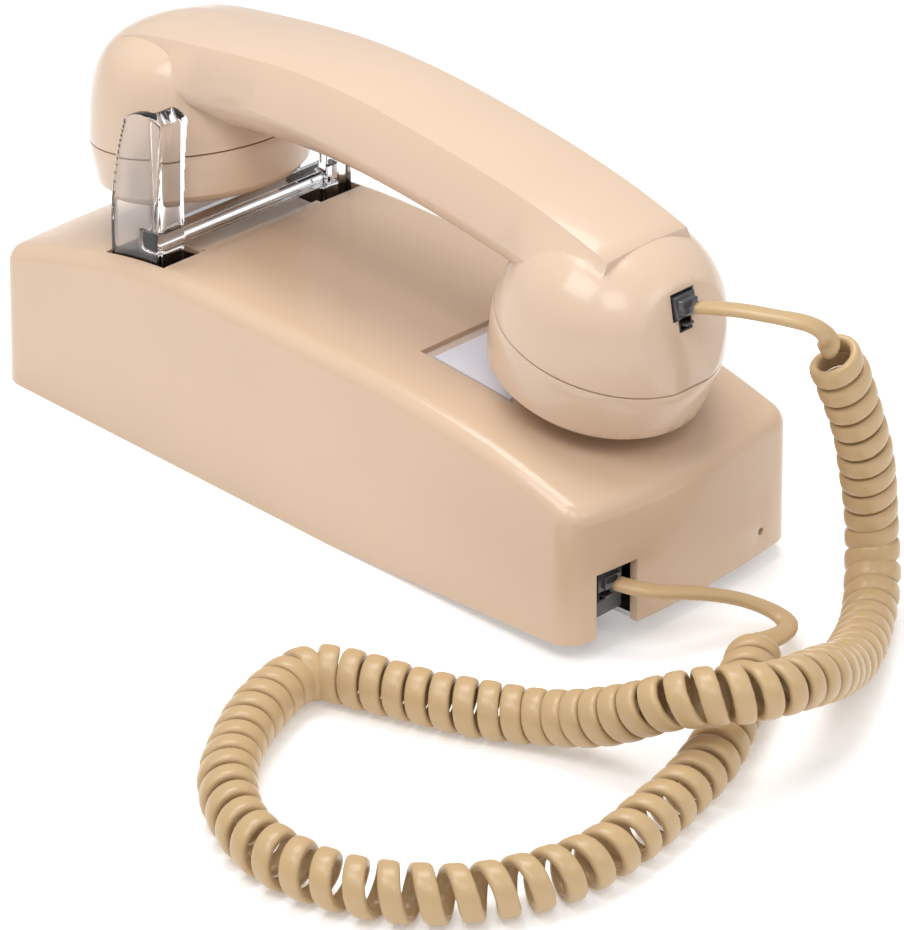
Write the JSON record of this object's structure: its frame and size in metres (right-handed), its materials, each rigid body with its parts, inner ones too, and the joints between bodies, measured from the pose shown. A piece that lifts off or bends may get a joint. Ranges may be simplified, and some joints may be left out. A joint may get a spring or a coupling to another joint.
{
  "type": "corded wall telephone",
  "caption": "Beige wall telephone lying on its back, handset hung across it on a clear U-shaped switch hook, with a long curly handset cord plugged in at both ends.",
  "frame": {"origin": "middle of the resting face (back plate) under the object's box, without the cord", "axes": "+X along the length towards the jack end (down, when hung on a wall), +Z out from the wall, +Y across"},
  "size_m": [0.3086, 0.2144, 0.1179],
  "materials": {
    "housing_plastic": "gloss moulded beige",
    "handset_plastic": "gloss moulded beige",
    "clear_plastic": "clear polished",
    "zinc_steel": "zinc plated",
    "spring_steel": "bright",
    "card_paper": "matt",
    "black_plastic": "satin moulded",
    "grey_plastic": "matt moulded",
    "contact_brass": "bright",
    "gong_brass": "satin",
    "coil_wrap": "wrapped",
    "lead_insulation": "satin",
    "plug_plastic": "clear moulded",
    "board_laminate": "laminate",
    "cord_jacket": "satin vinyl"
  },
  "bodies": {
    "base": {"housing_cover": "housing_plastic", "base_plate": "zinc_steel", "number_card": "card_paper", "card_window": "clear_plastic", "cover_latch": "spring_steel", "hook_pivot_pin": "spring_steel", "hook_bracket": "zinc_steel", "hook_spring": "spring_steel", "switch_block": "black_plastic", "switch_contacts": "contact_brass", "base_jack": "black_plastic", "base_jack_contacts": "contact_brass", "plug_base": "plug_plastic", "jack_bracket": "grey_plastic", "ringer_frame": "zinc_steel", "ringer_coil": "coil_wrap", "ringer_core": "zinc_steel", "clapper_post": "spring_steel", "gong_low": "gong_brass", "gong_high": "gong_brass", "gong_posts": "zinc_steel", "gong_screws": "zinc_steel", "circuit_board": "board_laminate", "board_posts": "zinc_steel", "board_screws": "zinc_steel", "line_transformer": "coil_wrap", "network_capacitors": "black_plastic", "terminal_block": "black_plastic", "terminal_screws": "contact_brass", "line_connector": "grey_plastic", "cord_coil": "cord_jacket", "cord_lead_handset": "cord_jacket", "cord_lead_base": "cord_jacket"},
    "hook": {"hook_cradle": "clear_plastic", "hook_lever": "zinc_steel"},
    "handset": {"handset_handle": "handset_plastic", "receiver_cap": "handset_plastic", "transmitter_cap": "handset_plastic", "receiver_capsule": "zinc_steel", "transmitter_capsule": "contact_brass", "transmitter_cup": "black_plastic", "receiver_leads": "lead_insulation", "handset_jack": "black_plastic", "handset_jack_contacts": "contact_brass", "plug_handset": "plug_plastic"},
    "clapper": {"clapper": "contact_brass"}
  },
  "joints": [
    {"name": "handset_lift", "type": "slide", "parent": "base", "child": "handset", "axis": [0, 0, 1], "range_m": [0, 0.12]},
    {"name": "hook_pivot", "type": "hinge", "parent": "base", "child": "hook", "pos_m": [-0.062, 0, 0.01], "axis": [0, 1, 0], "range_deg": [0, 3.4], "stiffness_Nm_per_rad": 0.3, "springref_deg": -5.73, "deforming": ["hook_spring"]},
    {"name": "clapper_swing", "type": "hinge", "parent": "base", "child": "clapper", "pos_m": [-0.004, 0, 0.03], "axis": [0, 0, 1], "range_deg": [-3.2, 3.2], "stiffness_Nm_per_rad": 0.002}
  ]
}
